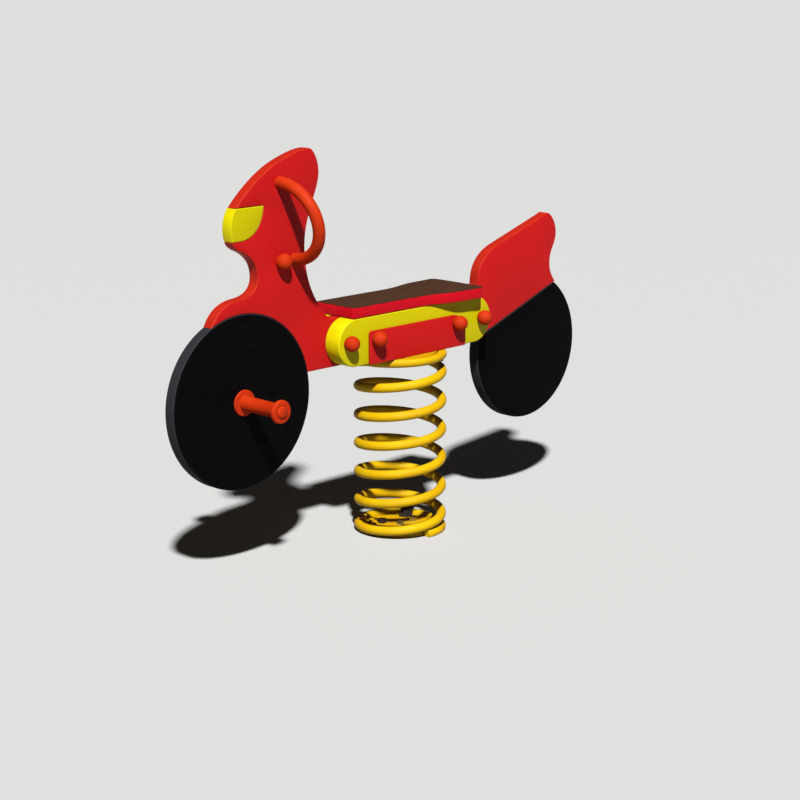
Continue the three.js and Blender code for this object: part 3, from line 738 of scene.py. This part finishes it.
# ------------------------------------------------------------------ foot pegs
peg_low, peg_high = (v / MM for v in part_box("foot_peg_left"))
PEG_R, FLANGE_R, END_R = 15.0, (peg_high.y - peg_low.y) / 2, 23.5
x0, x1 = peg_low.x, peg_high.x
hub = ((peg_low.y + peg_high.y) / 2, (peg_low.z + peg_high.z) / 2)


def rounded(profile_corner, radius, along, steps=5):
    """Quarter circle round an outer corner (r, h); along is +1 or -1 for the way the profile runs."""
    r, h = profile_corner
    out = []
    for i in range(steps + 1):
        a = math.pi / 2 * i / steps
        if along > 0:
            out.append((r - radius + radius * math.sin(a), h + radius - radius * math.cos(a)))
        else:
            out.append((r - radius + radius * math.cos(a), h - radius + radius * math.sin(a)))
    return out


BORE_R = 6.4            # for the axle
PLUG_SEAT_R = 13.0      # recess for the end plug
thick = 5.0             # of the flange
end_flat = x1 - 8.0     # floor of that recess
peg_profile = [(BORE_R, 0)] + rounded((FLANGE_R, 0), 1.4, 1) + rounded((FLANGE_R, thick), 2.2, -1)
peg_profile += [(PEG_R + 2.2, thick + 0.4), (PEG_R + 0.7, thick + 1.1), (PEG_R, thick + 2.6)]
neck = end_flat - x0 - 2.0
peg_profile += [(PEG_R, neck - 3), (PEG_R + 0.8, neck - 1.2), (PEG_R + 3, neck)]
peg_profile += rounded((END_R, neck + 0.6), 2.4, 1) + rounded((END_R, x1 - x0), 3.0, -1)
peg_profile += [(PLUG_SEAT_R + 0.6, x1 - x0), (PLUG_SEAT_R, x1 - x0 - 0.6), (PLUG_SEAT_R, end_flat - x0)]
peg_profile += [(BORE_R, end_flat - x0), (BORE_R, 0)]
peg_left = turned("peg_left", peg_profile, (x0, *hub), (1, 0, 0), 64)
peg_right = mirrored(peg_left, "peg_right")
finish_piece(peg_left, "rider", cap_red, ["foot_peg_left"])
finish_piece(peg_right, "rider", cap_red, ["foot_peg_right"])

plug_low, plug_high = (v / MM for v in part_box("peg_plug_left"))
PLUG_R, DOME, DOME_STEPS = 12.6, 4.4, 12
plug_side = plug_high.x - plug_low.x - DOME
plug_profile = [(0, 0), (PLUG_R, 0), (PLUG_R, plug_side)]
for i in range(1, DOME_STEPS + 1):
    a = math.pi / 2 * i / DOME_STEPS
    plug_profile.append((0.0 if i == DOME_STEPS else PLUG_R * math.cos(a), plug_side + DOME * math.sin(a)))
plug_left = turned("plug_left", plug_profile, (plug_low.x, *hub), (1, 0, 0), 48)
plug_right = mirrored(plug_left, "plug_right")
finish_piece(plug_left, "rider", cap_red, ["peg_plug_left"])
finish_piece(plug_right, "rider", cap_red, ["peg_plug_right"])

# ------------------------------------------------------------------ coil spring
WIRE_R = 10.0
COIL_R = 90.0
PITCH = 63.2
ACTIVE = 5.434          # turns between the two closed ones
TURNS = ACTIVE + 2
COIL_START = math.radians(-6)
coil_low, coil_high = (v.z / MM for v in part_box("coil_spring"))
END_SUNK = 4.8          # how much of the wire is ground away at each end
CLOSING = 2 * WIRE_R + GAP
FIRST = coil_low + WIRE_R - END_SUNK
LAST = coil_high - WIRE_R + END_SUNK


def wire_height(turns):
    """Height of the wire's middle, rising slowly in the closed turns and evenly between them."""
    power = PITCH / CLOSING
    if turns < 1:
        return FIRST + CLOSING * turns ** power
    if turns > TURNS - 1:
        return LAST - CLOSING * max(0.0, TURNS - turns) ** power
    return FIRST + CLOSING + (LAST - FIRST - 2 * CLOSING) * (turns - 1) / ACTIVE


def wire_point(turns):
    a = COIL_START + turns * 2 * math.pi
    return (COIL_R * math.cos(a), COIL_R * math.sin(a), wire_height(turns))


def ground_flat(q):
    """Keeps the surface between the two flat ends of the coil."""
    return Vector((q.x, q.y, min(max(q.z, coil_low), coil_high)))


# Two lengths of one wire, one after the other.
PER_TURN = 80
mid_turn = 3.717
for name, a, b, pair in (("coil_lower", 0.0, mid_turn, ("ground", "coil")),
                         ("coil_upper", mid_turn, TURNS, ("coil", "rider"))):
    count = round((b - a) * PER_TURN)
    path = [wire_point(a + (b - a) * i / count) for i in range(count + 1)]
    piece = swept(name, path, WIRE_R, 24, trim=ground_flat)
    piece.data.materials.append(spring_yellow)
    if name == "coil_lower":
        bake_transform(piece)
        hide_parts("coil_spring")
    else:
        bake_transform(piece)

# ------------------------------------------------------------------ steel parts kept from the CAD
STEEL_BEVEL = 0.0006
# Painted shade: these pieces are dark, while the same pieces elsewhere are yellow or plated.
DARK = ("base_claw_1", "base_claw_bolt_1", "top_claw_1", "top_claw_bolt_1", "anchor_bolt_2")
for node, obj in frame["nodes"].items():
    if obj.hide_render:
        continue
    plated = any(word in node for word in ("bolt", "stud", "dowel", "pin", "axle", "centre_plug"))
    obj.data.materials.clear()
    if node in DARK:
        obj.data.materials.append(steel_painted_shade)
    elif plated and "claw" not in node:
        obj.data.materials.append(zinc)
    else:
        obj.data.materials.append(plate_yellow)
    bevel = obj.modifiers.new("edge", "BEVEL")
    bevel.width = STEEL_BEVEL
    bevel.segments = 2
    bevel.limit_method = "ANGLE"
    bevel.angle_limit = math.radians(40)

# ------------------------------------------------------------------ floor, light, camera
FAR = 90                # metres to each side of the floor
floor_mesh = bpy.data.meshes.new("floor")
floor_mesh.from_pydata([(-FAR, -FAR, 0), (FAR, -FAR, 0), (FAR, FAR, 0), (-FAR, FAR, 0)], [], [(0, 1, 2, 3)])
floor = link(bpy.data.objects.new("floor", floor_mesh))
floor_look = Look("floor_pale", roughness=0.9, Specular_IOR_Level=0.1)
floor_look.shader.inputs["Base Color"].default_value = (0.29, 0.29, 0.285, 1)
floor.data.materials.append(floor_look.material)

# One sun, set by the shadows that the ball caps throw in the photograph. It is harder than studio light.
key = bpy.data.lights.new("key", "SUN")
key.energy = 10.5
key.angle = math.radians(3)
key.color = (1.0, 1.0, 1.0)
key_object = link(bpy.data.objects.new("key", key))
TO_LIGHT = Vector((0.50, -0.41, 0.76))
key_object.rotation_euler = TO_LIGHT.to_track_quat("Z", "Y").to_euler()

world = bpy.data.worlds.new("studio")
scene.world = world
world.use_nodes = True
sky = world.node_tree.nodes["Background"]
sky.inputs["Color"].default_value = (1.0, 1.0, 1.0, 1)
sky.inputs["Strength"].default_value = 0.04

camera = bpy.data.cameras.new("camera")
camera.lens = 86.77
camera.sensor_width = 36
camera.clip_end = 300
camera_object = link(bpy.data.objects.new("camera", camera))
AZIMUTH, ELEVATION, DISTANCE = math.radians(44.606), math.radians(13.334), 4.145362
TARGET = Vector((0, 0, 0.285544))
across = math.cos(ELEVATION)
back = Vector((math.sin(AZIMUTH) * across, -math.cos(AZIMUTH) * across, math.sin(ELEVATION)))
camera_object.location = TARGET + back * DISTANCE
camera_object.rotation_euler = back.to_track_quat("Z", "Y").to_euler()
scene.camera = camera_object
scene.view_settings.view_transform = "Standard"
